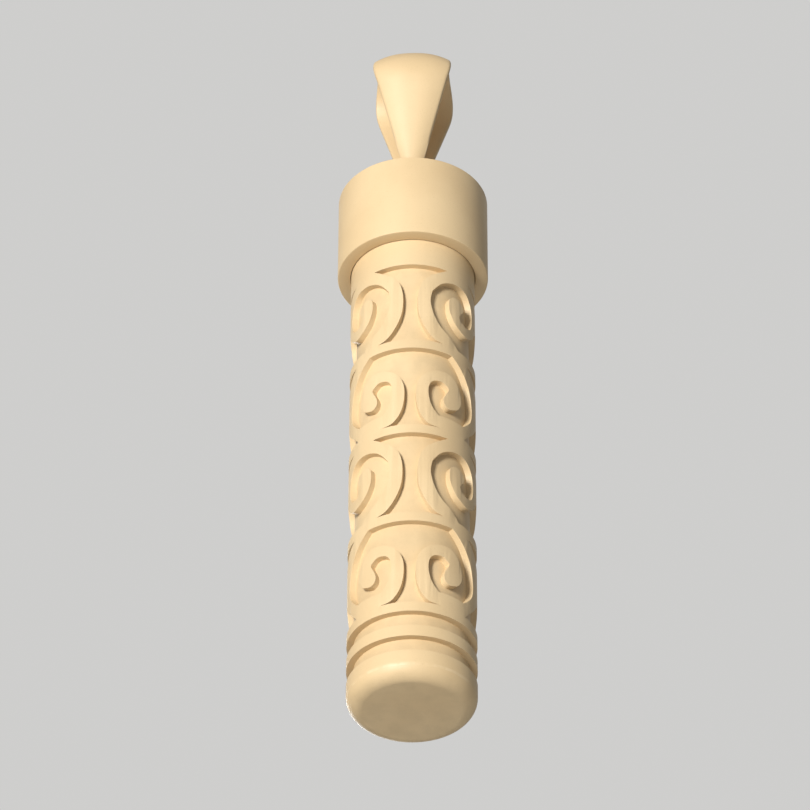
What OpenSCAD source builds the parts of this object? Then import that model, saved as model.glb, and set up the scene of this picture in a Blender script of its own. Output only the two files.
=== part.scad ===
// Pendant mezuzah case: a round relief tube that holds a rolled parchment,
// closed by a slip-on cap that hangs from a tapered, domed bail.
// Frame: +Z up, front towards -Y, origin at the seat where the neck chain rests
// inside the top of the bail. Angles run round the tube from the front (-Y) towards +X.

/* [Tube] */
// Outer diameter of the tube
tube_d = 8; // [7.2:0.1:10]
// Length of tube that shows below the cap
tube_len = 33.9; // [33.4:0.1:42]
// Wall between the bore and the bottom of the relief
wall_t = 0.68; // [0.5:0.02:1.2]
// Thickness of the closed end
floor_t = 1.6; // [1:0.1:3]
// Radius of the rounded bottom edge
foot_fillet = 1; // [0.4:0.05:1.2]
// Depth of the relief and of the ring grooves
relief = 0.42; // [0.2:0.02:0.5]
// Plain band between the cap and the first tier
neck_band = 2.06; // [1:0.02:2.3]
// Height of each ring groove near the foot
ring_h = 1.04; // [0.6:0.02:1.2]
// Distance from one ring groove to the next
ring_pitch = 1.83; // [1.5:0.01:2.4]
// Plain band between the last ring groove and the closed end
foot_band = 1.77; // [1.5:0.01:3]

/* [Cap] */
// Wall of the cap round the tube
cap_wall = 0.82; // [0.6:0.02:1.6]
// Height of the cap
cap_h = 6.32; // [5.6:0.02:9]
// Thickness of the cap's top
cap_top_t = 0.9; // [0.6:0.1:1.6]
// Radial clearance of the tube in the cap
cap_fit = 0.05; // [0.02:0.01:0.1]
// Air between the tube's end and the cap's top
neck_gap = 0.22; // [0.1:0.02:0.6]
// Section diameter of the seal ring
seal_d = 0.65; // [0.4:0.05:0.8]
// Radial clearance of the seal ring in its groove and in the cap
seal_fit = 0.02; // [0.01:0.01:0.04]

/* [Bail] */
// Height of the top bend's centre above the cap
bail_rise = 9.34; // [8:0.02:13]
// Outer radius of the top bend at the strap's edges
bail_edge_r = 2.66; // [2.4:0.02:3.4]
// How far the domed crown stands above the edges
bail_crown = 0.47; // [0.2:0.01:0.9]
// Thickness of the strap at its edges
bail_edge_t = 0.4; // [0.3:0.02:0.7]
// Half width of the strap at the top bend's centre
bail_half_w = 2.3; // [2:0.05:3.2]
// Widening of the half width for each millimetre of height
bail_flare = 0.235; // [0.1:0.005:0.26]
// Half width of the strap round the eyelet bar
bail_low_w = 0.6; // [0.5:0.05:1.2]

/* [Eyelet] */
// Diameter of the eyelet's wire
wire_d = 1.0; // [0.8:0.05:1.2]
// Wall of the bail round the bar
bar_wall = 0.6; // [0.4:0.05:0.9]
// Radial clearance of the bar in the bail
bar_fit = 0.08; // [0.04:0.01:0.1]
// Side clearance between the bail and the eyelet's posts
post_gap = 0.2; // [0.1:0.05:0.5]
// Clearance between the bail's lower end and the cap
eye_gap = 0.37; // [0.2:0.01:0.8]

/* [Parchment] */
// Radial clearance of the roll and its band in the bore
roll_fit = 0.35; // [0.1:0.05:0.6]
// Diameter of the open core of the roll
roll_core_d = 1.4; // [0.8:0.1:2]
// Width of the parchment, which is the length of the roll
roll_len = 27; // [20:0.5:30]
// Air under the roll
roll_gap = 0.3; // [0.1:0.05:1]
// Thickness of the paper band round the roll
band_t = 0.15; // [0.1:0.01:0.3]
// Width of the paper band
band_w = 5; // [3:0.5:10]

/* [Hidden] */
ROUND = 96;
SMOOTH_STEPS = 2;
SLOP = 1;

tube_r = tube_d / 2;
floor_r = tube_r - relief;
bore_r = floor_r - wall_t;
cap_bore_r = tube_r + cap_fit;
cap_r = cap_bore_r + cap_wall;
neck_top = cap_h - cap_top_t - neck_gap;
tier_count = 4;
tiers_end = -tube_len + foot_band + ring_h + ring_pitch;
tier_h = (-neck_band - tiers_end) / tier_count;
foot_step = 0.9;
panel_step = 0.759;

// The seal ring sits half way up the neck, in a groove that the cap closes.
seal_mid_r = cap_bore_r - seal_fit - seal_d / 2;
seal_groove_r = seal_mid_r - seal_d / 2 - seal_fit;
seal_groove_h = seal_d + 4 * seal_fit;
seal_z = neck_top / 2;

// Bail: heights are measured from the cap's rim, like the rest of the case.
bend_z = cap_h + bail_rise;
bar_r = wire_d / 2;
bail_inner_r = bail_edge_r - bail_edge_t;
bail_crown_r = bail_edge_r + bail_crown;
eye_inner_r = bar_r + bar_fit;
eye_outer_r = eye_inner_r + bar_wall;
bar_rise = eye_outer_r + eye_gap;
bar_z = cap_h + bar_rise;
seat_z = bend_z + bail_inner_r;
top_half_w = bail_half_w + bail_flare * bail_edge_r;
dome_r = (bail_half_w * bail_half_w + bail_crown * bail_crown) / (2 * bail_crown);
post_x = bail_low_w + post_gap + bar_r;

// The roll stands on the bore's floor and its band lies round it.
roll_r = bore_r - roll_fit - band_t;
roll_z = -tube_len + floor_t + roll_gap;

// ---- curves ----
// A smooth stretch through its points: a Catmull-Rom curve that keeps both ends.
function stretch_point(p, i, t) =
    let (n = len(p) - 1, a = p[max(i - 1, 0)], b = p[i], c = p[min(i + 1, n)], d = p[min(i + 2, n)])
    0.5 * (2 * b + (c - a) * t + (2 * a - 5 * b + 4 * c - d) * t * t
        + (3 * b - a - 3 * c + d) * t * t * t);
function smooth(p) = [
    for (i = [0 : len(p) - 2], k = [0 : SMOOTH_STEPS - 1]) stretch_point(p, i, k / SMOOTH_STEPS),
    p[len(p) - 1]
];
// Places on the tube, [angle, height in tiers below the step], laid flat as seen from angle aim.
function flat(p, aim) = [for (q = p) [tube_r * sin(q[0] - aim), q[1] * tier_h]];

// A prism through the tube's wall, aimed outwards at an angle, for one recess of the pattern.
module recess(outline, aim) {
    rotate([0, 0, aim]) rotate([90, 0, 0])
        translate([0, 0, floor_r * 0.5]) linear_extrude(height = tube_r) polygon(flat(outline, aim));
}

// The same recess on both sides of the front, and again at the back.
module four_ways() {
    for (turn = [0, 180]) rotate([0, 0, turn]) {
        children();
        mirror([1, 0, 0]) children();
    }
}

// ---- the pattern: [angle from the front, height below the tier's step in tiers] ----
VASE_SIDE = smooth([[35.8, 0.005], [26, -0.06], [16, -0.135], [10, -0.22], [7.2, -0.33], [6.6, -0.45],
    [7.8, -0.58], [11.5, -0.7], [17.5, -0.81], [24, -0.875], [31, -foot_step]]);
SCROLL_ARCH = smooth([[20.5, -0.294], [27, -0.206], [34, -0.153], [45, -0.118], [57, -0.124], [66, -0.176],
    [71.5, -0.265], [73, -0.353], [71.5, -0.447], [67, -0.518], [59, -0.547]]);
SCROLL_HOOK = smooth([[52, -0.524], [50, -0.476], [53, -0.424], [56, -0.37], [54, -0.324], [48, -0.288],
    [43, -0.282], [38.5, -0.324], [37.5, -0.4], [38.5, -0.482], [43, -0.576], [50, -0.635], [60, -0.665],
    [67, -0.635], [75, -0.571], [82, -0.47], [92, -0.388]]);
SCROLL_STEM = smooth([[48, -foot_step], [40, -0.806], [29, -0.706], [22.5, -0.588], [19.6, -0.482],
    [18.8, -0.4], [20.5, -0.294]]);
PANEL_SIDE = smooth([[40.6, 0], [52, -0.1], [60, -0.188], [66, -0.276], [70, -0.4], [71, -0.5],
    [68, -0.606], [61, -0.694], [54, -panel_step]]);
PANEL_CURL = smooth([[26.3, -panel_step], [21.5, -0.694], [18.3, -0.618], [16.7, -0.518], [17.7, -0.418],
    [22, -0.365], [30.5, -0.357], [36.8, -0.41]]);
PANEL_LOBE = smooth([[36.5, -0.435], [35, -0.465], [32.5, -0.52], [31.5, -0.57], [33, -0.62],
    [37.5, -0.645], [43, -0.63], [48, -0.595], [51.7, -0.512], [50.2, -0.388], [45, -0.288], [36, -0.235],
    [26, -0.235], [17, -0.27], [10.5, -0.33], [7, -0.4], [5.4, -0.47], [5.3, -0.59], [7.4, -0.72],
    [12, -0.82], [18, -0.88], [27, -foot_step]]);
FLANK_TOP_A = smooth([[63, 0], [73, -0.035], [82, -0.082], [90, -0.165]]);
FLANK_TOP_B = smooth([[61, 0], [71, -0.06], [81, -0.14], [90, -0.21]]);
FLANK_FOOT_B = smooth([[90, -0.53], [82, -0.618], [72, -0.735], [63, -0.824], [56, -foot_step]]);

function mirrored(p) = [for (i = [len(p) - 1 : -1 : 0]) [-p[i][0], p[i][1]]];
function across(p) = [for (i = [len(p) - 1 : -1 : 0]) [180 - p[i][0], p[i][1]]];

// Tier with tall open scrolls and a vase between them; its step is at height 0.
module scroll_tier() {
    for (turn = [0, 180]) rotate([0, 0, turn]) recess(concat(VASE_SIDE, mirrored(VASE_SIDE)), 0);
    four_ways() recess(concat(SCROLL_ARCH, SCROLL_HOOK, [[92, -foot_step]], SCROLL_STEM), 56);
    for (turn = [0, 180]) rotate([0, 0, turn]) recess(concat(FLANK_TOP_A, across(FLANK_TOP_A)), 90);
}

// Tier with a barrel-shaped panel round a pair of small scrolls; its step is at height 0.
module panel_tier() {
    half = concat(PANEL_SIDE, PANEL_CURL, PANEL_LOBE);
    four_ways() recess(concat([[-1, 0]], half, [[-1, -foot_step]]), 32);
    for (turn = [0, 180]) rotate([0, 0, turn]) {
        recess(concat(FLANK_TOP_B, across(FLANK_TOP_B)), 90);
        recess(concat(FLANK_FOOT_B, across(FLANK_FOOT_B)), 90);
    }
}

// The rounded blank of the tube, from the closed end up to the end of the neck.
module blank() {
    rotate_extrude($fn = ROUND) {
        translate([0, -tube_len + foot_fillet]) square([tube_r, tube_len - foot_fillet + neck_top]);
        translate([0, -tube_len]) square([tube_r - foot_fillet, foot_fillet + SLOP]);
        intersection() {
            translate([tube_r - foot_fillet, -tube_len + foot_fillet]) circle(r = foot_fillet, $fn = ROUND);
            translate([0, -tube_len]) square([tube_r, foot_fillet + SLOP]);
        }
    }
}

// The tube: raised pattern and rings on a plain core, bored for the parchment.
module case_body() {
    color("moccasin") difference() {
        union() {
            difference() {
                blank();
                for (tier = [0 : tier_count - 1]) translate([0, 0, -neck_band - tier * tier_h])
                    if (tier % 2 == 0) scroll_tier(); else panel_tier();
                for (ring = [0, 1]) translate([0, 0, tiers_end - ring * ring_pitch - ring_h])
                    cylinder(h = ring_h, r = tube_r + SLOP, $fn = ROUND);
            }
            translate([0, 0, -tube_len + foot_fillet])
                cylinder(h = tube_len - foot_fillet, r = floor_r, $fn = ROUND);
        }
        translate([0, 0, -tube_len + floor_t])
            cylinder(h = tube_len - floor_t + neck_top + SLOP, r = bore_r, $fn = ROUND);
        translate([0, 0, seal_z - seal_groove_h / 2]) difference() {
            cylinder(h = seal_groove_h, r = tube_r + SLOP, $fn = ROUND);
            cylinder(h = seal_groove_h, r = seal_groove_r, $fn = ROUND);
        }
    }
}

// Rubber ring that grips the inside of the cap.
module seal_ring() {
    color("black") translate([0, 0, seal_z])
        rotate_extrude($fn = ROUND) translate([seal_mid_r, 0]) circle(d = seal_d, $fn = 32);
}

// Cap: a plain cup, open downwards, over the neck of the tube.
module cap_shell() {
    color("moccasin") difference() {
        cylinder(h = cap_h, r = cap_r, $fn = ROUND);
        translate([0, 0, -SLOP]) cylinder(h = cap_h - cap_top_t + SLOP, r = cap_bore_r, $fn = ROUND);
    }
}

// Eyelet: a wire staple on the cap; its bar carries the bail.
module eyelet() {
    color("moccasin") union() {
        for (side = [-1, 1]) translate([side * post_x, 0, cap_h]) {
            cylinder(h = bar_rise, d = wire_d, $fn = 48);
            translate([0, 0, bar_rise]) sphere(d = wire_d, $fn = 48);
        }
        translate([-post_x, 0, bar_z]) rotate([0, 90, 0]) cylinder(h = 2 * post_x, d = wire_d, $fn = 48);
    }
}

// Side outline of the bail: two rounds joined by their tangents, drawn depth by height.
module teardrop(top_r, low_r) {
    rise = bend_z - bar_z;
    lean = asin((top_r - low_r) / rise);
    translate([0, bend_z]) circle(r = top_r, $fn = ROUND);
    translate([0, bar_z]) circle(r = low_r, $fn = ROUND);
    polygon([
        [top_r * cos(lean), bend_z - top_r * sin(lean)], [-top_r * cos(lean), bend_z - top_r * sin(lean)],
        [-low_r * cos(lean), bar_z - low_r * sin(lean)], [low_r * cos(lean), bar_z - low_r * sin(lean)]
    ]);
}

// The bail before its crown is rounded: a loop with a tapered strap.
module bail_loop() {
    span = top_half_w + SLOP;
    flare_z = bend_z - (bail_half_w - bail_low_w) / bail_flare;
    intersection() {
        rotate([90, 0, 90]) translate([0, 0, -span]) linear_extrude(height = 2 * span) difference() {
            teardrop(bail_crown_r, eye_outer_r);
            teardrop(bail_inner_r, eye_inner_r);
        }
        rotate([90, 0, 0]) translate([0, 0, -span * 2]) linear_extrude(height = 4 * span) polygon([
            [-bail_low_w, cap_h], [bail_low_w, cap_h], [bail_low_w, flare_z],
            [top_half_w, bend_z + bail_edge_r], [top_half_w, bend_z + bail_crown_r],
            [-top_half_w, bend_z + bail_crown_r], [-top_half_w, bend_z + bail_edge_r], [-bail_low_w, flare_z]
        ]);
    }
}

// Section of the bail's domed outside, from the axis of the bend out to the crown.
module dome_section() {
    intersection() {
        translate([bail_crown_r - dome_r, 0]) circle(r = dome_r, $fn = ROUND);
        translate([0, -dome_r]) square([bail_crown_r + SLOP, 2 * dome_r]);
    }
}

// Bail: the neck chain passes through it from side to side.
module bail() {
    rise = bend_z - bar_z;
    lean = asin((bail_crown_r - eye_outer_r) / rise);
    color("moccasin") intersection() {
        bail_loop();
        translate([0, 0, bend_z]) union() {
            rotate([0, 90, 0]) rotate([0, 0, 90 - lean]) rotate_extrude(angle = 180 + 2 * lean, $fn = ROUND)
                dome_section();
            for (side = [0, 180]) rotate([0, 0, side]) rotate([180 + lean, 0, 0])
                linear_extrude(height = rise * 1.2) rotate([0, 0, 90]) dome_section();
        }
    }
}

// The rolled parchment in the bore.
module parchment() {
    color("wheat") translate([0, 0, roll_z]) difference() {
        cylinder(h = roll_len, r = roll_r, $fn = ROUND);
        translate([0, 0, -SLOP]) cylinder(h = roll_len + 2 * SLOP, d = roll_core_d, $fn = 48);
    }
}

// Paper band that keeps the parchment rolled.
module paper_band() {
    color("ivory") translate([0, 0, roll_z + (roll_len - band_w) / 2]) difference() {
        cylinder(h = band_w, r = roll_r + band_t, $fn = ROUND);
        translate([0, 0, -SLOP]) cylinder(h = band_w + 2 * SLOP, r = roll_r, $fn = ROUND);
    }
}

// Everything is drawn from the cap's rim and placed with the chain's seat at the origin.
module placed() {
    translate([0, 0, -seat_z]) children();
}

placed() case_body();
placed() seal_ring();
placed() cap_shell();
placed() eyelet();
placed() bail();
placed() parchment();
placed() paper_band();
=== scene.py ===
"""Pendant mezuzah case: looks and studio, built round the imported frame.

Each sub-assembly is a class. Sizes are in millimetres and heights are measured from the cap's rim
while a piece is built; finish_piece() then puts it in the row's frame, in metres.
Angles run round the tube from the front (-Y) towards +X.
"""

import logging
import math
from dataclasses import dataclass, field
from enum import Enum
from typing import ClassVar, Iterable, Sequence, Union

import bmesh
import bpy
from mathutils import Matrix, Vector


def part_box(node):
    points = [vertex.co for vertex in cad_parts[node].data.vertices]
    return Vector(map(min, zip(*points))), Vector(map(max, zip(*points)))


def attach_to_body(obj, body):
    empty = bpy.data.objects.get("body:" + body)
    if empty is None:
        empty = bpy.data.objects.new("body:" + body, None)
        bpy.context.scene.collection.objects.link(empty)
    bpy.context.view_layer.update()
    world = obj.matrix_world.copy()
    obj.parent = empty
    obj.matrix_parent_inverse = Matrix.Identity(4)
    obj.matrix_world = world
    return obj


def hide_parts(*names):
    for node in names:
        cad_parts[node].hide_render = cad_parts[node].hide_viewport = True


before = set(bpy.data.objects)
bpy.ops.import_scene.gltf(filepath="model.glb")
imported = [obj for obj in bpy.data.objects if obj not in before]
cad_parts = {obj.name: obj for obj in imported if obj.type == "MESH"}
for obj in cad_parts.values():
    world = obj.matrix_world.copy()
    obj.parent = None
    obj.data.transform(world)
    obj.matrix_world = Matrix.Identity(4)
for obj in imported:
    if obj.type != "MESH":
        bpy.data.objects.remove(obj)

LOG = logging.getLogger("mezuzah_case")
METRE = 0.001
FULL_TURN = 2 * math.pi
STEPS_ROUND = 120
SHARP_TURN = 22.0
CLOSE = 0.0005

Point = tuple[float, float]
Outline = list[Point]
Colour = tuple[float, float, float]


class Body(Enum):
    """The CAD bodies that pieces ride on."""

    BAIL = "bail"
    CAP = "cap"
    RING = "ring"
    CASE = "case"
    SCROLL = "scroll"


# ---- shader arithmetic ----


@dataclass(frozen=True)
class Value:
    """A number or colour that varies over a surface: a recipe's output socket with arithmetic."""

    recipe: "Recipe"
    socket: bpy.types.NodeSocket | None

    def _math(self, operation: str, *terms: Union["Value", float]) -> "Value":
        """Adds a Math node with an operation and its inputs in order."""
        return self.recipe.node("ShaderNodeMath", {"operation": operation}, dict(enumerate(terms)))

    def __add__(self, other: Union["Value", float]) -> "Value":
        """Sum."""
        return self._math("ADD", self, other)

    def __radd__(self, other: float) -> "Value":
        """Sum with a number on the left."""
        return self._math("ADD", other, self)

    def __sub__(self, other: Union["Value", float]) -> "Value":
        """Difference."""
        return self._math("SUBTRACT", self, other)

    def __rsub__(self, other: float) -> "Value":
        """Difference from a number on the left."""
        return self._math("SUBTRACT", other, self)

    def __mul__(self, other: Union["Value", float]) -> "Value":
        """Product."""
        return self._math("MULTIPLY", self, other)

    def __rmul__(self, other: float) -> "Value":
        """Product with a number on the left."""
        return self._math("MULTIPLY", other, self)

    def __pow__(self, power: float) -> "Value":
        """Power."""
        return self._math("POWER", self, power)

    def clamped(self, low: float, high: float) -> "Value":
        """Rescales the range from low to high to 0 to 1, and cuts off what is outside it."""
        settings = {"clamp": True, "interpolation_type": "SMOOTHSTEP"}
        inputs = {"Value": self, "From Min": low, "From Max": high}
        return self.recipe.node("ShaderNodeMapRange", settings, inputs)


class Recipe:
    """A material under construction: its node tree, and one method that makes any node."""

    def __init__(self, name: str) -> None:
        """Starts an empty material.

        Args:
            name: The material's name.
        """
        self.material = bpy.data.materials.new(name)
        self.material.use_nodes = True
        self.tree = self.material.node_tree
        self.tree.nodes.clear()

    def node(self, kind: str, settings: dict, inputs: dict, output: Union[int, str] = 0) -> Value:
        """Makes a node.

        Args:
            kind: The node's type.
            settings: Its properties, set first.
            inputs: Values or links for its sockets, by name or number.
            output: The output that is returned.

        Returns:
            The node's output.
        """
        made = self.tree.nodes.new(kind)
        for name, value in settings.items():
            setattr(made, name, value)
        for name, value in inputs.items():
            if isinstance(value, Value):
                self.tree.links.new(value.socket, made.inputs[name])
            else:
                made.inputs[name].default_value = value
        return Value(self, made.outputs[output]) if made.outputs else Value(self, None)

    def place(self) -> Value:
        """The point on the piece, in metres in the row's frame."""
        return self.node("ShaderNodeTexCoord", {}, {}, "Object")

    def noise(self, scale: float, detail: float = 3.0, stretch: Colour = (1, 1, 1)) -> Value:
        """Cloudy noise about 0.5, with its features per metre, octaves and factors on the three axes."""
        at = self.node("ShaderNodeMapping", {}, {"Vector": self.place(), "Scale": stretch})
        return self.node("ShaderNodeTexNoise", {}, {"Vector": at, "Scale": scale, "Detail": detail})

    def axes(self) -> tuple[Value, Value, Value]:
        """The point's three coordinates, in metres."""
        made = self.node("ShaderNodeSeparateXYZ", {}, {"Vector": self.place()})
        return tuple(Value(self, made.socket.node.outputs[i]) for i in range(3))

    def from_axis(self) -> Value:
        """Distance from the tube's axis, in millimetres."""
        x, y, _ = self.axes()
        return (x * x + y * y) ** 0.5 * (1 / METRE)

    def mix(self, factor: Union[Value, float], a: Union[Value, Colour], b: Union[Value, Colour]) -> Value:
        """Mixes two colours.

        Args:
            factor: 0 gives a, and 1 gives b.
            a: The first colour.
            b: The second colour.

        Returns:
            The mixed colour.
        """
        inputs = {0: factor}
        for key, colour in ((6, a), (7, b)):
            inputs[key] = colour if isinstance(colour, Value) else (*colour, 1.0)
        return self.node("ShaderNodeMix", {"data_type": "RGBA"}, inputs, 2)

    def bump(self, height: Value, depth: float, strength: float) -> Value:
        """The normal of relief too fine for the mesh, from its height of 0 to 1 and its depth in metres."""
        return self.node("ShaderNodeBump", {}, {"Height": height, "Distance": depth, "Strength": strength})

    def surface(self, inputs: dict) -> bpy.types.Material:
        """Ends the recipe.

        Args:
            inputs: Values for the shader's sockets.

        Returns:
            The finished material.
        """
        shader = self.node("ShaderNodeBsdfPrincipled", {}, inputs)
        self.node("ShaderNodeOutputMaterial", {}, {"Surface": shader})
        return self.material


# ---- finishes ----


class Finish:
    """What all finishes share: each gives the values of the shader's sockets."""

    def sockets(self, recipe: Recipe) -> dict:
        """Works out the shader sockets' values, with nodes made in the recipe."""
        raise NotImplementedError

    def make(self, name: str) -> bpy.types.Material:
        """Makes the material and names it."""
        recipe = Recipe(name)
        return recipe.surface(self.sockets(recipe))


@dataclass(frozen=True)
class CreamCoat(Finish):
    """Cast metal under a thin matt cream coat: fine orange peel, painted shade in the recesses blotched like
    dust, and rubbed rims.
    """

    light: Colour = (0.70, 0.53, 0.31)
    deep: Colour = (0.655, 0.485, 0.275)
    # Colour of the fine pits, and also the painted shade colour in the recesses
    pit_and_recess_shade: Colour = (0.42, 0.315, 0.18)
    rubbed: Colour = (0.78, 0.62, 0.40)
    floor_r: float = 3.60
    wall_r: float = 3.93
    rim_r: float = 3.957
    land_r: float = 3.995
    has_relief: bool = True
    roughness: float = 0.52
    fade: float = 0.01
    pit_share: float = 0.16
    recess_shade_share: float = 0.2
    rub_share: float = 0.4

    def sockets(self, recipe: Recipe) -> dict:
        """The coat's cloud, peel, painted recess shade and rub."""
        cloud = recipe.noise(170, 4.0)
        peel = recipe.noise(4200, 2.0)
        pits = recipe.noise(12000, 1.0)
        coat = recipe.mix(cloud.clamped(0.36, 0.66), self.light, self.deep)
        coat = recipe.mix(pits.clamped(0.62, 0.74) * self.pit_share, coat, self.pit_and_recess_shade)
        rough = self.roughness - 0.05 + 0.1 * peel
        if self.has_relief:
            out = recipe.from_axis()
            # Painted shade: the colour darkens in the recesses by their depth below the land, blotched with
            # noise
            low = 1 - out.clamped(self.floor_r, self.wall_r)
            dust_and_shade = low * recipe.noise(900, 4.0).clamped(0.34, 0.7)
            coat = recipe.mix(dust_and_shade * self.recess_shade_share, coat, self.pit_and_recess_shade)
            inside = 1 - out.clamped(self.land_r - self.fade, self.land_r)
            rim = out.clamped(self.rim_r - self.fade, self.rim_r) * inside
            rub = rim * recipe.noise(1500, 3.0).clamped(0.4, 0.62)
            coat = recipe.mix(rub * self.rub_share, coat, self.rubbed)
            rough = rough - 0.06 * rub
        return {
            "Base Color": coat,
            "Roughness": rough,
            "Normal": recipe.bump(peel * 0.65 + pits * 0.35, 0.000012, 0.5),
        }


@dataclass(frozen=True)
class DrawnWire(Finish):
    """Satin wire with faint draw lines along it."""

    light: Colour = (1.0, 0.77, 0.44)
    deep: Colour = (0.85, 0.6, 0.3)

    def sockets(self, recipe: Recipe) -> dict:
        """Draw lines along the wire."""
        lines = recipe.noise(6000, 2.0, (0.12, 1.0, 1.0))
        return {
            "Base Color": recipe.mix(lines.clamped(0.35, 0.7), self.light, self.deep),
            "Metallic": 0.2,
            "Roughness": 0.34 + 0.12 * lines,
            "Normal": recipe.bump(lines, 0.00001, 0.4),
        }


@dataclass(frozen=True)
class BlackRubber(Finish):
    """Moulded black rubber with a dusty bloom."""

    dark: Colour = (0.012, 0.012, 0.013)
    bloom: Colour = (0.06, 0.058, 0.055)

    def sockets(self, recipe: Recipe) -> dict:
        """Rubber with dust on it."""
        dust_and_shade = recipe.noise(2600, 4.0)
        return {
            "Base Color": recipe.mix(dust_and_shade.clamped(0.45, 0.8), self.dark, self.bloom),
            "Roughness": 0.55 + 0.2 * dust_and_shade,
            "Normal": recipe.bump(dust_and_shade, 0.000008, 0.5),
        }


@dataclass(frozen=True)
class ScrapedSkin(Finish):
    """Parchment: scraped skin with pores, veins and browned edges."""

    pale: Colour = (0.80, 0.68, 0.48)
    warm: Colour = (0.64, 0.48, 0.29)
    edge: Colour = (0.42, 0.27, 0.13)
    low_z: float = 0.0
    high_z: float = 1.0
    edge_band: float = 0.0009

    def sockets(self, recipe: Recipe) -> dict:
        """Blotched skin with pores, fibres and browned ends."""
        blotch = recipe.noise(420, 5.0)
        pores = recipe.noise(7000, 2.0)
        fibres = recipe.noise(2600, 3.0, (1.0, 1.0, 0.14))
        _, _, height = recipe.axes()
        top = height.clamped(self.high_z - self.edge_band, self.high_z)
        foot = 1 - height.clamped(self.low_z, self.low_z + self.edge_band)
        skin = recipe.mix(blotch.clamped(0.35, 0.7), self.pale, self.warm)
        skin = recipe.mix(pores.clamped(0.6, 0.75) * 0.35, skin, self.edge)
        skin = recipe.mix((top + foot) * 0.6, skin, self.edge)
        return {
            "Base Color": skin,
            "Roughness": 0.62 + 0.2 * blotch,
            "Normal": recipe.bump(fibres * 0.6 + pores * 0.4, 0.00002, 0.6),
        }


@dataclass(frozen=True)
class BandPaper(Finish):
    """Uncoated paper with visible fibres."""

    pale: Colour = (0.86, 0.83, 0.75)
    fleck: Colour = (0.62, 0.55, 0.43)

    def sockets(self, recipe: Recipe) -> dict:
        """Paper with its fibres and flecks."""
        fibres = recipe.noise(5000, 4.0, (1.0, 1.0, 0.35))
        return {
            "Base Color": recipe.mix(fibres.clamped(0.55, 0.8), self.pale, self.fleck),
            "Roughness": 0.75 + 0.15 * fibres,
            "Normal": recipe.bump(fibres, 0.000014, 0.6),
        }


# ---- mesh helpers ----


def placed(name: str, data: bpy.types.ID) -> bpy.types.Object:
    """Makes an object and puts it in the scene.

    Args:
        name: Its name.
        data: Its mesh, light or camera.

    Returns:
        The object.
    """
    made = bpy.data.objects.new(name, data)
    bpy.context.scene.collection.objects.link(made)
    return made


def meshed(bm: bmesh.types.BMesh, name: str) -> bpy.types.Object:
    """Makes a mesh under construction an object.

    Args:
        bm: The mesh, which is freed.
        name: The object's name.

    Returns:
        The object.
    """
    mesh = bpy.data.meshes.new(name)
    bm.to_mesh(mesh)
    bm.free()
    return placed(name, mesh)


def mark_sharp(bm: bmesh.types.BMesh) -> None:
    """Smooths every face, and keeps the edges that turn more than SHARP_TURN sharp."""
    for face in bm.faces:
        face.smooth = True
    for edge in bm.edges:
        sharp = len(edge.link_faces) == 2 and edge.calc_face_angle(0.0) > math.radians(SHARP_TURN)
        edge.smooth = not sharp


def finish_piece(bm: bmesh.types.BMesh, name: str, rim_z: float,
                 material: bpy.types.Material) -> bpy.types.Object:
    """Puts a mesh in the row's frame and makes it an object.

    Args:
        bm: The mesh, in millimetres with heights from the cap's rim.
        name: The object's name.
        rim_z: Height of the cap's rim in the row's frame, in metres.
        material: Its material.

    Returns:
        The object.
    """
    bmesh.ops.recalc_face_normals(bm, faces=bm.faces)
    mark_sharp(bm)
    bmesh.ops.scale(bm, vec=(METRE, METRE, METRE), verts=bm.verts)
    bmesh.ops.translate(bm, vec=(0, 0, rim_z), verts=bm.verts)
    made = meshed(bm, name)
    made.data.materials.append(material)
    return made


class Piece:
    """What the pieces of one mesh share."""

    label: ClassVar[str]

    def shape(self, bm: bmesh.types.BMesh) -> None:
        """Shapes the piece in an empty mesh, in millimetres with heights from the cap's rim."""
        raise NotImplementedError

    def build(self, rim_z: float, material: bpy.types.Material) -> bpy.types.Object:
        """Builds the piece.

        Args:
            rim_z: Height of the cap's rim in the row's frame, in metres.
            material: Its material.

        Returns:
            The piece.
        """
        bm = bmesh.new()
        self.shape(bm)
        return finish_piece(bm, self.label, rim_z, material)


def chain(bm: bmesh.types.BMesh, points: Iterable[Vector], closed: bool = False) -> list[bmesh.types.BMEdge]:
    """Joins points with edges.

    Args:
        bm: The mesh that gets them.
        points: The points.
        closed: True to join the last to the first.

    Returns:
        The edges.
    """
    verts = [bm.verts.new(p) for p in points]
    pairs = list(zip(verts, verts[1:]))
    if closed:
        pairs.append((verts[-1], verts[0]))
    return [bm.edges.new(pair) for pair in pairs]


def extruded(bm: bmesh.types.BMesh, edges: list) -> tuple[list, list]:
    """Extrudes edges in place.

    Args:
        bm: The mesh.
        edges: The edges.

    Returns:
        The new points and the new edges.
    """
    grown = bmesh.ops.extrude_edge_only(bm, edges=edges)["geom"]
    verts = [g for g in grown if isinstance(g, bmesh.types.BMVert)]
    return verts, [g for g in grown if isinstance(g, bmesh.types.BMEdge)]


def wound(bm: bmesh.types.BMesh, edges: list, radii: Sequence[float], step: float) -> None:
    """Winds a straight row of edges round the axis.

    Args:
        bm: The mesh.
        edges: The row at the first radius.
        radii: The radius at each step, the first one's included.
        step: The turn of a step in radians.
    """
    turn = Matrix.Rotation(step, 3, "Z")
    for before, after in zip(radii, radii[1:]):
        verts, edges = extruded(bm, edges)
        bmesh.ops.rotate(bm, cent=(0, 0, 0), matrix=turn, verts=verts)
        bmesh.ops.scale(bm, vec=(after / before, after / before, 1.0), verts=verts)


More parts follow.
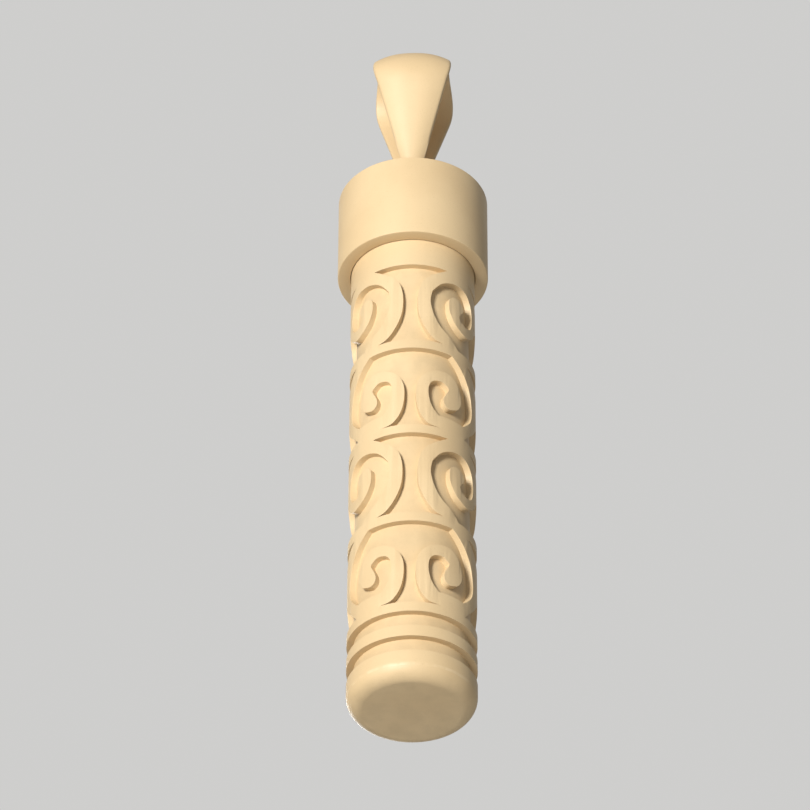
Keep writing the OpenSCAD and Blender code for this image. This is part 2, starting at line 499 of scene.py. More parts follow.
def turned(bm: bmesh.types.BMesh, profile: Sequence[Point], closed: bool = False, x: float = 0.0,
           steps: int = STEPS_ROUND) -> None:
    """Turns a profile round an upright axis.

    Args:
        bm: The mesh that gets the turned surface.
        profile: Its (radius, height) points.
        closed: True where the profile is a loop.
        x: The axis's place, 0 for the tube's own axis.
        steps: The number of steps.
    """
    start = [Vector((x - radius, 0, height)) for radius, height in profile]
    edges = chain(bm, start, closed)
    verts = list({v for e in edges for v in e.verts})
    bmesh.ops.spin(bm, geom=verts + edges, cent=(x, 0, 0), axis=(0, 0, 1), angle=FULL_TURN,
                   steps=steps, use_merge=True, use_duplicate=False)


def arc(centre: Point, radius: float, start: float, end: float, steps: int) -> list[Point]:
    """Points along an arc, from its start angle to its end angle in degrees."""
    turns = [math.radians(start + (end - start) * i / steps) for i in range(steps + 1)]
    return [(centre[0] + radius * math.cos(t), centre[1] + radius * math.sin(t)) for t in turns]


def smooth_stretch(points: Sequence[Point], steps: int = 4) -> Outline:
    """A smooth curve through its points, which keeps both ends.

    Args:
        points: The points that it passes through.
        steps: Pieces from each point to the next.

    Returns:
        The points along the curve.
    """
    last = len(points) - 1
    out: Outline = []
    for i in range(last):
        a, b, c, d = (Vector(points[k]) for k in (max(i - 1, 0), i, i + 1, min(i + 2, last)))
        for k in range(steps):
            t = k / steps
            square, cube = 2 * a - 5 * b + 4 * c - d, 3 * b - a - 3 * c + d
            at = 0.5 * (2 * b + (c - a) * t + square * t * t + cube * t ** 3)
            out.append((at.x, at.y))
    return out + [tuple(points[last])]


def mirrored(points: Sequence[Point], middle: float) -> Outline:
    """The same points in reverse on the other side of a middle angle."""
    return [(2 * middle - angle, height) for angle, height in reversed(points)]


# ---- the tube ----


@dataclass
class Pattern:
    """The relief: outlines as (angle in degrees, height in tiers below the tier's step) points."""

    vase_side: Sequence[Point] = ((35.8, 0.005), (26, -0.06), (16, -0.135), (10, -0.22), (7.2, -0.33),
                                  (6.6, -0.45), (7.8, -0.58), (11.5, -0.7), (17.5, -0.81), (24, -0.875),
                                  (31, -0.9))
    scroll_arch: Sequence[Point] = ((20.5, -0.294), (27, -0.206), (34, -0.153), (45, -0.118), (57, -0.124),
                                    (66, -0.176), (71.5, -0.265), (73, -0.353), (71.5, -0.447), (67, -0.518),
                                    (59, -0.547))
    scroll_hook: Sequence[Point] = ((52, -0.524), (50, -0.476), (53, -0.424), (56, -0.37), (54, -0.324),
                                    (48, -0.288), (43, -0.282), (38.5, -0.324), (37.5, -0.4), (38.5, -0.482),
                                    (43, -0.576), (50, -0.635), (60, -0.665), (67, -0.635), (75, -0.571),
                                    (82, -0.47), (90, -0.4))
    scroll_stem: Sequence[Point] = ((48, -0.9), (40, -0.806), (29, -0.706), (22.5, -0.588), (19.6, -0.482),
                                    (18.8, -0.4), (20.5, -0.294))
    panel_side: Sequence[Point] = ((40.6, 0), (52, -0.1), (60, -0.188), (66, -0.276), (70, -0.4), (71, -0.5),
                                   (68, -0.606), (61, -0.694), (54, -0.759))
    panel_curl: Sequence[Point] = ((26.3, -0.759), (21.5, -0.694), (18.3, -0.618), (16.7, -0.518),
                                   (17.7, -0.418), (22, -0.365), (30.5, -0.357), (36.8, -0.41))
    panel_lobe: Sequence[Point] = ((36.5, -0.435), (35, -0.465), (32.5, -0.52), (31.5, -0.57),
                                   (33, -0.62), (37.5, -0.645), (43, -0.63), (48, -0.595), (51.7, -0.512),
                                   (50.2, -0.388), (45, -0.288), (36, -0.235), (26, -0.235), (17, -0.27),
                                   (10.5, -0.33), (7, -0.4), (5.4, -0.47), (5.3, -0.59), (7.4, -0.72),
                                   (12, -0.82), (18, -0.88), (27, -0.9))
    flank_top_tall: Sequence[Point] = ((63, 0), (73, -0.035), (82, -0.082), (90, -0.165))
    flank_top_low: Sequence[Point] = ((61, 0), (71, -0.06), (81, -0.14), (90, -0.21))
    flank_foot: Sequence[Point] = ((90, -0.53), (82, -0.618), (72, -0.735), (63, -0.824), (56, -0.9))

    @staticmethod
    def _both(middle: float, *stretches: Sequence[Point]) -> Outline:
        """A closed outline: smooth stretches end to end, and their mirror image about a middle angle."""
        half = [point for stretch in stretches for point in smooth_stretch(stretch)]
        joined = half + mirrored(half, middle)
        kept = [joined[0]]
        for point in joined[1:]:
            if math.dist(point, kept[-1]) > 1e-6:
                kept.append(point)
        return kept if math.dist(kept[0], kept[-1]) > 1e-6 else kept[:-1]

    def scroll_tier(self) -> list[Outline]:
        """Recesses of a tier of tall open scrolls, over half a turn from -90 to 90 degrees or more."""
        # The scroll's floor runs on round the side to the next scroll's.
        return [
            self._both(0.0, self.vase_side),
            self._both(90.0, self.scroll_stem, self.scroll_arch, self.scroll_hook),
            self._both(90.0, self.flank_top_tall),
        ]

    def panel_tier(self) -> list[Outline]:
        """Recesses of a tier with a barrel-shaped panel round small scrolls."""
        return [
            self._both(0.0, self.panel_side, self.panel_curl, self.panel_lobe),
            self._both(90.0, self.flank_top_low),
            self._both(90.0, self.flank_foot),
        ]


@dataclass
class Tube(Piece):
    """The cast tube: its patterned wall is cut flat, rolled up, and closed by turned ends."""

    label: ClassVar[str] = "cast_tube"
    radius: float
    length: float
    bore_r: float = 2.9
    floor_t: float = 1.6
    foot_fillet: float = 1.0
    relief: float = 0.42
    tier_h: float = 6.8
    tiers: int = 4
    neck_band: float = 2.06
    ring_h: float = 1.04
    ring_pitch: float = 1.83
    neck_top: float = 5.2
    seal_z: float = 2.6
    seal_groove_r: float = 3.34
    seal_groove_h: float = 0.73
    rim_bevel: float = 0.045
    floor_bevel: float = 0.03
    neck_bevel: float = 0.12
    weld: float = 0.002
    seam: float = -90.0
    pattern: Pattern = field(default_factory=Pattern)

    def _along(self, angle: float) -> float:
        """Distance round the outside to an angle in degrees."""
        return math.radians(angle) * self.radius

    def _seams(self) -> tuple[float, float]:
        """Where the flat wall starts and ends along its length."""
        return self._along(self.seam), self._along(self.seam + 360)

    def _low_z(self) -> float:
        """Lower end of the flat wall, just under the last ring groove."""
        groove_foot = -self.neck_band - self.tiers * self.tier_h - self.ring_pitch - self.ring_h
        return (groove_foot - self.length + self.floor_t) / 2

    def _add_prism(self, bm: bmesh.types.BMesh, outline: Outline) -> None:
        """Adds a straight cutter for one recess.

        Args:
            bm: The mesh that gets it.
            outline: Its outline in millimetres along and up the flat wall.
        """
        verts = [bm.verts.new((x, y, -self.relief)) for x, y in outline]
        face = bm.faces.new(verts)
        grown = bmesh.ops.extrude_face_region(bm, geom=[face])
        top = [v for v in grown["geom"] if isinstance(v, bmesh.types.BMVert)]
        bmesh.ops.translate(bm, vec=(0, 0, 2 * self.relief), verts=top)

    def _cutters(self) -> bpy.types.Object:
        """All recesses and ring grooves as one object over the flat wall."""
        bm = bmesh.new()
        low, high = self._seams()
        for tier in range(self.tiers):
            step_z = -self.neck_band - tier * self.tier_h
            outlines = self.pattern.panel_tier() if tier % 2 else self.pattern.scroll_tier()
            for outline in outlines:
                for turn in (-180, 0, 180, 360):
                    flat = [(self._along(a + turn), step_z + h * self.tier_h) for a, h in outline]
                    if max(p[0] for p in flat) > low and min(p[0] for p in flat) < high:
                        self._add_prism(bm, flat)
        for ring in range(2):
            top = -self.neck_band - self.tiers * self.tier_h - ring * self.ring_pitch
            self._add_prism(bm, [(low - 1, top - self.ring_h), (high + 1, top - self.ring_h),
                                 (high + 1, top), (low - 1, top)])
        bmesh.ops.recalc_face_normals(bm, faces=bm.faces)
        return meshed(bm, "cutters")

    def _flat_wall(self, result: bmesh.types.BMesh) -> None:
        """Adds the wall laid flat, with its recesses cut.

        Args:
            result: The mesh that gets it.
        """
        bm = bmesh.new()
        low, high = self._seams()
        deep = self.bore_r - self.radius
        bmesh.ops.create_cube(bm, size=1.0)
        bmesh.ops.scale(bm, vec=(high - low, -self._low_z(), -deep), verts=bm.verts)
        bmesh.ops.translate(bm, vec=((low + high) / 2, self._low_z() / 2, deep / 2), verts=bm.verts)
        wall = meshed(bm, "flat_wall")
        cutters = self._cutters()
        cut = wall.modifiers.new("cut", "BOOLEAN")
        cut.operation = "DIFFERENCE"
        cut.solver = "EXACT"
        cut.object = cutters
        bpy.context.view_layer.update()
        result.from_object(wall, bpy.context.evaluated_depsgraph_get())
        bpy.data.objects.remove(wall)
        bpy.data.objects.remove(cutters)

    def _soften(self, bm: bmesh.types.BMesh) -> None:
        """Breaks the sharp rims and fills the corners at the recesses' floors.

        Args:
            bm: The flat wall.
        """
        bmesh.ops.remove_doubles(bm, verts=bm.verts, dist=self.weld)
        bmesh.ops.dissolve_degenerate(bm, edges=bm.edges, dist=self.weld)
        for height, size in ((0.0, self.rim_bevel), (-self.relief, self.floor_bevel)):
            edges = [e for e in bm.edges if self._is_rim(e, height)]
            bmesh.ops.bevel(bm, geom=edges, offset=size, offset_type="OFFSET", segments=2, profile=0.5,
                            affect="EDGES", clamp_overlap=True, material=-1)

    def _is_rim(self, edge: bmesh.types.BMEdge, height: float) -> bool:
        """Tells whether an edge is a recess's rim or floor corner at a height."""
        level = all(abs(v.co.z - height) < 1e-4 for v in edge.verts)
        low, high = self._seams()
        ends = all(min(abs(v.co.x - low), abs(v.co.x - high)) < 1e-3 for v in edge.verts)
        border = all(min(abs(v.co.y), abs(v.co.y - self._low_z())) < 1e-3 for v in edge.verts)
        return level and not ends and not border and edge.calc_face_angle(0.0) > 1.0

    def _roll_up(self, bm: bmesh.types.BMesh) -> None:
        """Rolls the flat wall round the axis.

        Args:
            bm: The flat wall.
        """
        low, high = self._seams()
        for i in range(1, STEPS_ROUND):
            at = low + (high - low) * i / STEPS_ROUND
            bmesh.ops.bisect_plane(bm, geom=bm.verts[:] + bm.edges[:] + bm.faces[:], dist=1e-5,
                                   plane_co=(at, 0, 0), plane_no=(1, 0, 0))
        ends = [f for f in bm.faces if self._is_end(f)]
        bmesh.ops.delete(bm, geom=ends, context="FACES")
        for vert in bm.verts:
            along, up, out = vert.co
            turn = along / self.radius
            reach = self.radius + out
            vert.co = (reach * math.sin(turn), -reach * math.cos(turn), up)

    def _is_end(self, face: bmesh.types.BMFace) -> bool:
        """Tells whether a face closes one of the flat wall's four ends."""
        low, high = self._seams()
        for axis, places in ((0, (low, high)), (1, (0.0, self._low_z()))):
            for place in places:
                if all(abs(v.co[axis] - place) < 1e-4 for v in face.verts):
                    return True
        return False

    def _ends(self, bm: bmesh.types.BMesh) -> None:
        """Adds the turned neck and the closed foot.

        Args:
            bm: The mesh that gets them.
        """
        r, bore, low = self.radius, self.bore_r, self._low_z()
        half, edge = self.seal_groove_h / 2, self.neck_bevel
        turned(bm, [
            (r, 0), (r, self.seal_z - half), (self.seal_groove_r, self.seal_z - half),
            (self.seal_groove_r, self.seal_z + half), (r, self.seal_z + half),
            (r, self.neck_top - edge), (r - edge, self.neck_top),
            (bore + edge, self.neck_top), (bore, self.neck_top - edge), (bore, 0),
        ])
        round_r, floor_z = self.foot_fillet, -self.length + self.floor_t
        fillet = arc((r - round_r, -self.length + round_r), round_r, 0, -90, 14)
        turned(bm, [(r, low)] + fillet + [(0, -self.length)])
        turned(bm, [(0, floor_z), (bore, floor_z), (bore, low)])

    def shape(self, bm: bmesh.types.BMesh) -> None:
        """Cuts the wall, rolls it up and closes its ends."""
        self._flat_wall(bm)
        self._soften(bm)
        self._roll_up(bm)
        self._ends(bm)
        bmesh.ops.remove_doubles(bm, verts=bm.verts, dist=0.75 * self.weld)
        open_edges = sum(1 for e in bm.edges if not e.is_manifold)
        LOG.info("tube: %d faces, %d edges that aren't manifold", len(bm.faces), open_edges)


# ---- the cap, the ring and the eyelet ----


@dataclass
class Cap(Piece):
    """The plain cup over the tube's neck."""

    label: ClassVar[str] = "cap"
    radius: float
    height: float
    bore_r: float = 4.05
    top_t: float = 0.9
    edge: float = 0.07
    inner_edge: float = 0.03
    inner_fillet: float = 0.3

    def shape(self, bm: bmesh.types.BMesh) -> None:
        """Turns the cup."""
        r, bore, edge, inner, cove = self.radius, self.bore_r, self.edge, self.inner_edge, self.inner_fillet
        ceiling = self.height - self.top_t
        turned(bm, [(0, self.height)] + arc((r - edge, self.height - edge), edge, 90, 0, 4)
               + arc((r - edge, edge), edge, 0, -90, 4) + arc((bore + inner, inner), inner, -90, -180, 3)
               + arc((bore - cove, ceiling - cove), cove, 0, 90, 6) + [(0, ceiling)])
        bmesh.ops.remove_doubles(bm, verts=bm.verts, dist=CLOSE)


@dataclass
class SealRing(Piece):
    """The moulded rubber ring in the neck's groove, with its flash line."""

    label: ClassVar[str] = "rubber_ring"
    mid_r: float
    section_r: float
    height: float
    flash: float = 0.012
    sides: int = 32

    def shape(self, bm: bmesh.types.BMesh) -> None:
        """Turns the ring's round section, with the flash on its inside."""
        loop = arc((self.mid_r, self.height), self.section_r, 0, 360, self.sides)[:-1]
        loop[self.sides // 2] = (self.mid_r - self.section_r - self.flash, self.height)
        turned(bm, loop, closed=True)
        bmesh.ops.remove_doubles(bm, verts=bm.verts, dist=CLOSE)


@dataclass
class Eyelet(Piece):
    """The wire staple on the cap, with its two soldered feet."""

    label: ClassVar[str] = "wire_eyelet"
    wire_r: float
    post_x: float
    cap_top: float
    bar_z: float
    bend_r: float = 0.42
    solder_r: float = 0.24
    solder_lap: float = 0.02
    sides: int = 24
    bend_steps: int = 10

    def _wire(self, bm: bmesh.types.BMesh) -> None:
        """Sweeps the wire: up, round a bend, across, round a bend and down.

        Args:
            bm: The mesh that gets it.
        """
        bend_z = self.bar_z - self.bend_r
        ring = bmesh.ops.create_circle(bm, segments=self.sides, radius=self.wire_r)["verts"]
        bmesh.ops.translate(bm, vec=(-self.post_x, 0, self.cap_top), verts=ring)
        edges = list({e for v in ring for e in v.link_edges})
        edges = self._pushed(bm, edges, Vector((0, 0, bend_z - self.cap_top)))
        edges = self._bent(bm, edges, Vector((-self.post_x + self.bend_r, 0, bend_z)))
        edges = self._pushed(bm, edges, Vector((2 * (self.post_x - self.bend_r), 0, 0)))
        edges = self._bent(bm, edges, Vector((self.post_x - self.bend_r, 0, bend_z)))
        self._pushed(bm, edges, Vector((0, 0, self.cap_top - bend_z)))

    @staticmethod
    def _pushed(bm: bmesh.types.BMesh, edges: list, by: Vector) -> list:
        """Extrudes a loop straight.

        Args:
            bm: The mesh.
            edges: The loop's edges.
            by: How far and where to.

        Returns:
            The new loop's edges.
        """
        verts, edges = extruded(bm, edges)
        bmesh.ops.translate(bm, vec=by, verts=verts)
        return edges

    def _bent(self, bm: bmesh.types.BMesh, edges: list, centre: Vector) -> list:
        """Extrudes a loop round a quarter bend.

        Args:
            bm: The mesh.
            edges: The loop's edges.
            centre: The bend's centre.

        Returns:
            The new loop's edges.
        """
        made = bmesh.ops.spin(bm, geom=edges, cent=centre, axis=(0, 1, 0), angle=math.pi / 2,
                              steps=self.bend_steps, use_merge=False, use_duplicate=False)
        return [g for g in made["geom_last"] if isinstance(g, bmesh.types.BMEdge)]

    def _solder(self, bm: bmesh.types.BMesh, x: float) -> None:
        """Adds the coved solder round a foot.

        Args:
            bm: The mesh that gets it.
            x: The foot's place along the bar.
        """
        s, r = self.solder_r, self.wire_r - self.solder_lap
        turned(bm, arc((r + s, self.cap_top + s), s, 180, 270, 6), x=x, steps=self.sides)

    def shape(self, bm: bmesh.types.BMesh) -> None:
        """Bends the wire and solders its feet."""
        self._wire(bm)
        for x in (-self.post_x, self.post_x):
            self._solder(bm, x)
        bmesh.ops.remove_doubles(bm, verts=bm.verts, dist=CLOSE)
        borders = [e for e in bm.edges if e.is_boundary]
        bmesh.ops.holes_fill(bm, edges=borders, sides=0)


# ---- the bail ----


@dataclass
class Bail(Piece):
    """The loop for the chain: a strap with a domed crown that narrows towards the eyelet."""

    label: ClassVar[str] = "strap_bail"
    bend_z: float
    bar_z: float
    inner_r: float = 2.26
    eye_r: float = 0.58
    edge_t: float = 0.3
    crown: float = 0.58
    low_crown: float = 0.2
    dome_power: float = 2.4
    half_w: float = 2.43
    flare: float = 0.265
    top_draw: float = 0.41
    low_w: float = 0.6
    edge: float = 0.13
    across: int = 20
    across_inside: int = 6
    bend_steps: int = 56
    eye_steps: int = 28
    flank_steps: int = 14
    corner: float = 55.0

    def _stations(self) -> list[tuple[Vector, Vector]]:
        """Points on the strap's inner face and its outward directions, once round the loop."""
        rise = self.bend_z - self.bar_z
        lean = math.degrees(math.asin((self.inner_r - self.eye_r) / rise))
        out: list[tuple[Vector, Vector]] = []
        for middle, radius, start, end, steps in (
            (self.bend_z, self.inner_r, -lean, 180 + lean, self.bend_steps),
            (self.bar_z, self.eye_r, 180 + lean, 360 - lean, self.eye_steps),
        ):
            for y, z in arc((0.0, 0.0), 1.0, start, end, steps):
                way = Vector((0, y, z))
                out.append((way * radius + Vector((0, 0, middle)), way))
        top, low = out[:self.bend_steps + 1], out[self.bend_steps + 1:]
        return top + self._flank(top[-1], low[0]) + low + self._flank(low[-1], top[0])

    def _flank(self, a: tuple[Vector, Vector], b: tuple[Vector, Vector]) -> list[tuple[Vector, Vector]]:
        """Stations on the straight flank from a to b, without the two."""
        return [(a[0].lerp(b[0], i / self.flank_steps), a[1]) for i in range(1, self.flank_steps)]

    def _half_width(self, z: float) -> float:
        """Half the strap's width at a height."""
        up = z - self.bend_z
        widened = self.half_w + self.flare * up
        if up > 0:
            widened -= self.top_draw * self.flare * up * up
        return max(self.low_w, widened)

    def _section(self, at: Vector, out: Vector) -> list[Vector]:
        """The strap's outline at a station: flat inside, domed outside.

        Args:
            at: The point on the inner face.
            out: The outward direction.

        Returns:
            The outline's points.
        """
        side = Vector((1, 0, 0))
        outer_z = (at + out * self.edge_t).z
        half = self._half_width(outer_z)
        share = min(max((at.z - self.bar_z) / (self.bend_z - self.bar_z), 0.0), 1.0)
        crown = self.low_crown + (self.crown - self.low_crown) * share
        points = [at - side * half * (1 - 2 * i / self.across_inside) for i in range(self.across_inside + 1)]
        for i in range(self.across + 1):
            x = half * (1 - 2 * i / self.across)
            dome = self.edge_t + crown * (1 - abs(x / half) ** self.dome_power)
            points.append(at + side * x + out * dome)
        return points

    def shape(self, bm: bmesh.types.BMesh) -> None:
        """Sweeps the strap round its stations and breaks its edges."""
        stations = self._stations()
        first = chain(bm, self._section(*stations[0]), closed=True)
        loop = first
        verts = [e.verts[0] for e in first]
        for at, out in stations[1:]:
            loop = extruded(bm, loop)[1]
            verts = self._matched(verts, loop)
            for vert, point in zip(verts, self._section(at, out)):
                vert.co = point
        bmesh.ops.bridge_loops(bm, edges=first + loop)
        bmesh.ops.recalc_face_normals(bm, faces=bm.faces)
        corners = [e for e in bm.edges if e.calc_face_angle(0.0) > math.radians(self.corner)]
        bmesh.ops.bevel(bm, geom=corners, offset=self.edge, offset_type="OFFSET", segments=3, profile=0.5,
                        affect="EDGES", clamp_overlap=True, material=-1)

    @staticmethod
    def _matched(verts: list, loop: list) -> list:
        """Finds each old point's new one in an extruded loop.

        Args:
            verts: The old loop's points, in order.
            loop: The new loop's edges.

        Returns:
            The new loop's points, in the same order.
        """
        fresh = {v for e in loop for v in e.verts}
        return [next(e.other_vert(v) for e in v.link_edges if e.other_vert(v) in fresh) for v in verts]


# ---- the scroll ----


@dataclass
class Scroll:
    """The rolled parchment and the paper band round it."""

    roll_r: float
    low_z: float
    length: float
    band_r: float
    band_low: float
    band_w: float
    core_r: float = 0.78
    sheet_t: float = 0.13
    turns: float = 7.4
    steps: int = 56
    rows: int = 8
    trim: float = 0.05
    paper_t: float = 0.05
    paper_gap: float = 0.01
    lap_turns: float = 1.08
    lap_steps: int = 100
    lap_rows: int = 4
    lap_start: float = 0.9
    lap_rise: float = 8.0

    def parchment(self, rim_z: float, material: bpy.types.Material) -> bpy.types.Object:
        """Builds the rolled sheet.

        Args:
            rim_z: Height of the cap's rim in the row's frame, in metres.
            material: Its material.

        Returns:
            The roll.
        """
        bm = bmesh.new()
        count = int(self.turns * self.steps)
        outer = self.roll_r - self.sheet_t
        up = self.length / self.rows
        start = chain(bm, [Vector((self.core_r, 0, self.low_z + up * i)) for i in range(self.rows + 1)])
        radii = [self.core_r + (outer - self.core_r) * i / count for i in range(count + 1)]
        wound(bm, start, radii, FULL_TURN / self.steps)
        self._deckle(bm)
        made = finish_piece(bm, "rolled_parchment", rim_z, material)
        self._thicken(made, self.sheet_t, 0.0)
        return made

    @staticmethod
    def _thicken(sheet: bpy.types.Object, thickness: float, offset: float) -> None:
        """Gives a sheet its thickness.

        Args:
            sheet: The sheet.
            thickness: The thickness in millimetres.
            offset: 0 for both ways, 1 for outwards only.
        """
        thick = sheet.modifiers.new("sheet", "SOLIDIFY")
        thick.thickness = thickness * METRE
        thick.offset = offset

    def _deckle(self, bm: bmesh.types.BMesh) -> None:
        """Makes the rolled sheet's long edges slightly uneven, inside its length."""
        high = self.low_z + self.length
        for vert in bm.verts:
            turn = math.atan2(vert.co.y, vert.co.x)
            reach = math.hypot(vert.co.x, vert.co.y)
            uneven = 0.07 * (1 + math.sin(3 * turn + 5.1 * reach) * math.cos(2.3 * reach))
            if abs(vert.co.z - high) < 1e-4:
                vert.co.z -= uneven + self.trim
            elif abs(vert.co.z - self.low_z) < 1e-4:
                vert.co.z += uneven + self.trim

    def band(self, rim_z: float, material: bpy.types.Material) -> bpy.types.Object:
        """Builds the paper band, whose ends lap.

        Args:
            rim_z: Height of the cap's rim in the row's frame, in metres.
            material: Its material.

        Returns:
            The band.
        """
        bm = bmesh.new()
        inner, count = self.roll_r + self.paper_gap, self.lap_steps
        up = self.band_w / self.lap_rows
        start = chain(bm, [Vector((-inner, 0, self.band_low + up * i)) for i in range(self.lap_rows + 1)])
        rise = (self.band_r - self.paper_t - inner) * self.lap_rise
        radii = [inner + rise * max(0.0, i / count - self.lap_start) for i in range(count + 1)]
        wound(bm, start, radii, self.lap_turns * FULL_TURN / count)
        made = finish_piece(bm, "lapped_band", rim_z, material)
        self._thicken(made, self.paper_t, 1.0)
        return made


# ---- the studio ----


@dataclass
class Studio:
    """Plain pale floor, soft lights and the camera below the hanging case."""

    target: Vector
    turn: float = 2.35
    tilt: float = -38.27
    distance: float = 0.29792
    lens: float = 208.6
    roll: float = 0.21
    key_power: float = 4.9
    fill_power: float = 1.8
    light_away: float = 0.62
    key_turn: float = -24.0
    key_tilt: float = -6.0
    key_size: float = 0.14
    key_colour: Colour = (1.0, 0.985, 0.955)
    fill_turn: float = 198.0
    fill_tilt: float = 18.0
    fill_size: float = 0.25
    fill_colour: Colour = (0.97, 0.985, 1.0)
    low_light: float = 0.2
    sky_light: float = 0.28
    backdrop_light: float = 0.36
    floor_z: float = -0.4
    floor_half: float = 12.0

    @staticmethod
    def _toward(turn: float, tilt: float) -> Vector:
        """The direction from the case to a place at an angle round it and a height angle."""
        a, e = math.radians(turn), math.radians(tilt)
        return Vector((math.sin(a) * math.cos(e), -math.cos(a) * math.cos(e), math.sin(e)))

    def camera(self) -> None:
        """Makes the camera and makes it the scene's."""
        data = bpy.data.cameras.new("view")
        data.lens = self.lens
        data.sensor_width = 36
        data.clip_start = 0.01
        data.clip_end = 20
        made = placed("view", data)
        back = self._toward(self.turn, self.tilt)
        facing = back.to_track_quat("Z", "Y").to_matrix().to_4x4()
        made.matrix_world = (Matrix.Translation(self.target + back * self.distance) @ facing
                             @ Matrix.Rotation(math.radians(self.roll), 4, "Z"))
        bpy.context.scene.camera = made

    def _panel(self, name: str, turn: float, tilt: float, size: float, power: float,
               colour: Colour) -> None:
        """Adds a square soft light that faces the case.

        Args:
            name: Its name.
            turn: Its angle round the case in degrees.
            tilt: Its height angle in degrees.
            size: Its side in metres.
            power: Its power in watts.
            colour: Its colour.
        """
        data = bpy.data.lights.new(name, "AREA")
        data.shape = "SQUARE"
        data.size = size
        data.energy = power
        data.color = colour
        made = placed(name, data)
        way = self._toward(turn, tilt)
        made.location = self.target + way * self.light_away
        made.rotation_euler = way.to_track_quat("Z", "Y").to_euler()

    def lights(self) -> None:
        """Adds the key and fill lights, a soft sky that fades towards the floor, and a pale backdrop."""
        self._panel("key", self.key_turn, self.key_tilt, self.key_size, self.key_power, self.key_colour)
        self._panel("fill", self.fill_turn, self.fill_tilt, self.fill_size, self.fill_power, self.fill_colour)
        world = bpy.data.worlds.new("room")
        world.use_nodes = True
        tree = world.node_tree
        way = tree.nodes.new("ShaderNodeTexCoord")
        split = tree.nodes.new("ShaderNodeSeparateXYZ")
        tree.links.new(way.outputs["Generated"], split.inputs[0])
        aim = tree.nodes.new("ShaderNodeVectorMath")
        aim.operation = "DOT_PRODUCT"
        aim.inputs[1].default_value = -self._toward(self.turn, self.tilt)
        tree.links.new(way.outputs["Generated"], aim.inputs[0])
        glow = tree.nodes.new("ShaderNodeMath")
        for slot, (source, low, high, dark, bright) in enumerate((
            (split.outputs["Z"], 0.0, 0.5, self.low_light, self.sky_light),
            (aim.outputs["Value"], 0.8, 0.97, 0.0, self.backdrop_light),
        )):
            ramp = tree.nodes.new("ShaderNodeMapRange")
            ramp.interpolation_type = "SMOOTHSTEP"
            for name, value in (("From Min", low), ("From Max", high), ("To Min", dark), ("To Max", bright)):
                ramp.inputs[name].default_value = value
            tree.links.new(source, ramp.inputs["Value"])
            tree.links.new(ramp.outputs[0], glow.inputs[slot])
        sky = tree.nodes["Background"]
        sky.inputs[0].default_value = (0.97, 0.965, 0.95, 1)
        tree.links.new(glow.outputs[0], sky.inputs[1])
        bpy.context.scene.world = world
        bpy.context.scene.view_settings.view_transform = "Standard"

    def floor(self) -> None:
        """Adds the plain floor far below the case."""
        bm = bmesh.new()
        bmesh.ops.create_grid(bm, x_segments=8, y_segments=8, size=self.floor_half)
        bmesh.ops.translate(bm, vec=(0, 0, self.floor_z), verts=bm.verts)
        made = meshed(bm, "studio_floor")
        recipe = Recipe("floor_paint")
        cloud = recipe.noise(6, 3.0)
        paint = recipe.mix(cloud, (0.66, 0.655, 0.64), (0.70, 0.695, 0.68))
        made.data.materials.append(recipe.surface({"Base Color": paint, "Roughness": 0.8 + 0.1 * cloud}))


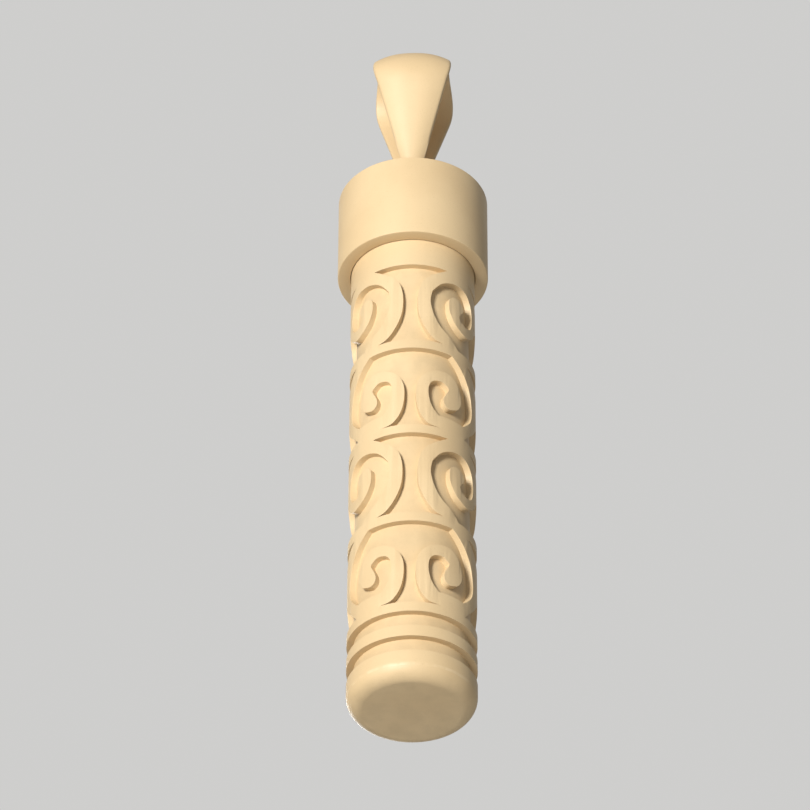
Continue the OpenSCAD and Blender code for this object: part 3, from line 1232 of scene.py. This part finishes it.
@dataclass(frozen=True)
class Measures:
    """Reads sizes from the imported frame, in millimetres and with heights from the cap's rim."""

    rim_z: float

    def size(self, node: str, axis: int) -> float:
        """A node's size along an axis."""
        low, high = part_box(node)
        return (high[axis] - low[axis]) / METRE

    def radius(self, node: str) -> float:
        """Half a node's size across."""
        return self.size(node, 0) / 2

    def up(self, z: float) -> float:
        """The height above the cap's rim of a height in the row's frame."""
        return (z - self.rim_z) / METRE

    def ends(self, node: str) -> tuple[float, float]:
        """The heights of a node's lower and upper ends."""
        low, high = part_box(node)
        return self.up(low.z), self.up(high.z)

    def tube(self) -> Tube:
        """The tube as the frame has it."""
        low, high = self.ends("case_body")
        seal_z = sum(self.ends("seal_ring")) / 2
        return Tube(radius=self.radius("case_body"), length=-low, neck_top=high, seal_z=seal_z)

    def ring(self) -> SealRing:
        """The seal ring as the frame has it."""
        section_r = self.size("seal_ring", 2) / 2
        return SealRing(self.radius("seal_ring") - section_r, section_r, sum(self.ends("seal_ring")) / 2)

    def eyelet(self) -> Eyelet:
        """The eyelet as the frame has it."""
        wire_r = self.size("eyelet", 1) / 2
        bar_z = self.ends("eyelet")[1] - wire_r
        return Eyelet(wire_r, self.radius("eyelet") - wire_r, self.size("cap_shell", 2), bar_z)

    def scroll(self) -> Scroll:
        """The roll and its band as the frame has them."""
        return Scroll(self.radius("parchment"), self.ends("parchment")[0], self.size("parchment", 2),
                      self.radius("paper_band"), self.ends("paper_band")[0], self.size("paper_band", 2))


def attach(piece: bpy.types.Object, body: Body, node: str) -> None:
    """Makes a piece stand for its CAD node.

    Args:
        piece: The piece.
        body: The body that it rides on.
        node: The CAD node that it replaces.
    """
    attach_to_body(piece, body.value)
    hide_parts(node)
    LOG.info("%s: %d faces", piece.name, len(piece.data.polygons))


def main() -> None:
    """Builds the case, its contents and the studio."""
    logging.basicConfig(level=logging.INFO, format="%(message)s")
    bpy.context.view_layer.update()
    rim_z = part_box("cap_shell")[0].z
    m = Measures(rim_z)
    studio = Studio(target=Vector((-0.00048, 0.0, rim_z - 0.01031)))
    studio.camera()
    studio.lights()
    studio.floor()

    plain_coat = CreamCoat(has_relief=False).make("plain_coat")
    tube, ring, eyelet, scroll = m.tube(), m.ring(), m.eyelet(), m.scroll()
    cap = Cap(m.radius("cap_shell"), m.size("cap_shell", 2))
    bail = Bail(bend_z=m.up(0.0) - Bail.inner_r, bar_z=eyelet.bar_z)
    skin_low = rim_z + scroll.low_z * METRE
    skin = ScrapedSkin(low_z=skin_low, high_z=skin_low + scroll.length * METRE)
    for build, material, body, node, slot in (
        (tube.build, CreamCoat().make("cast_case"), Body.CASE, "case_body", "cast_case"),
        (cap.build, plain_coat, Body.CAP, "cap_shell", "cast_case"),
        (ring.build, BlackRubber().make("seal_rubber"), Body.RING, "seal_ring", "seal_rubber"),
        (eyelet.build, DrawnWire().make("wire"), Body.CAP, "eyelet", "wire"),
        (bail.build, plain_coat, Body.BAIL, "bail", "bail_metal"),
        (scroll.parchment, skin.make("parchment"), Body.SCROLL, "parchment", "parchment"),
        (scroll.band, BandPaper().make("band_paper"), Body.SCROLL, "paper_band", "band_paper"),
    ):
        attach(build(rim_z, material), body, node)


if __name__ == "__main__":
    main()
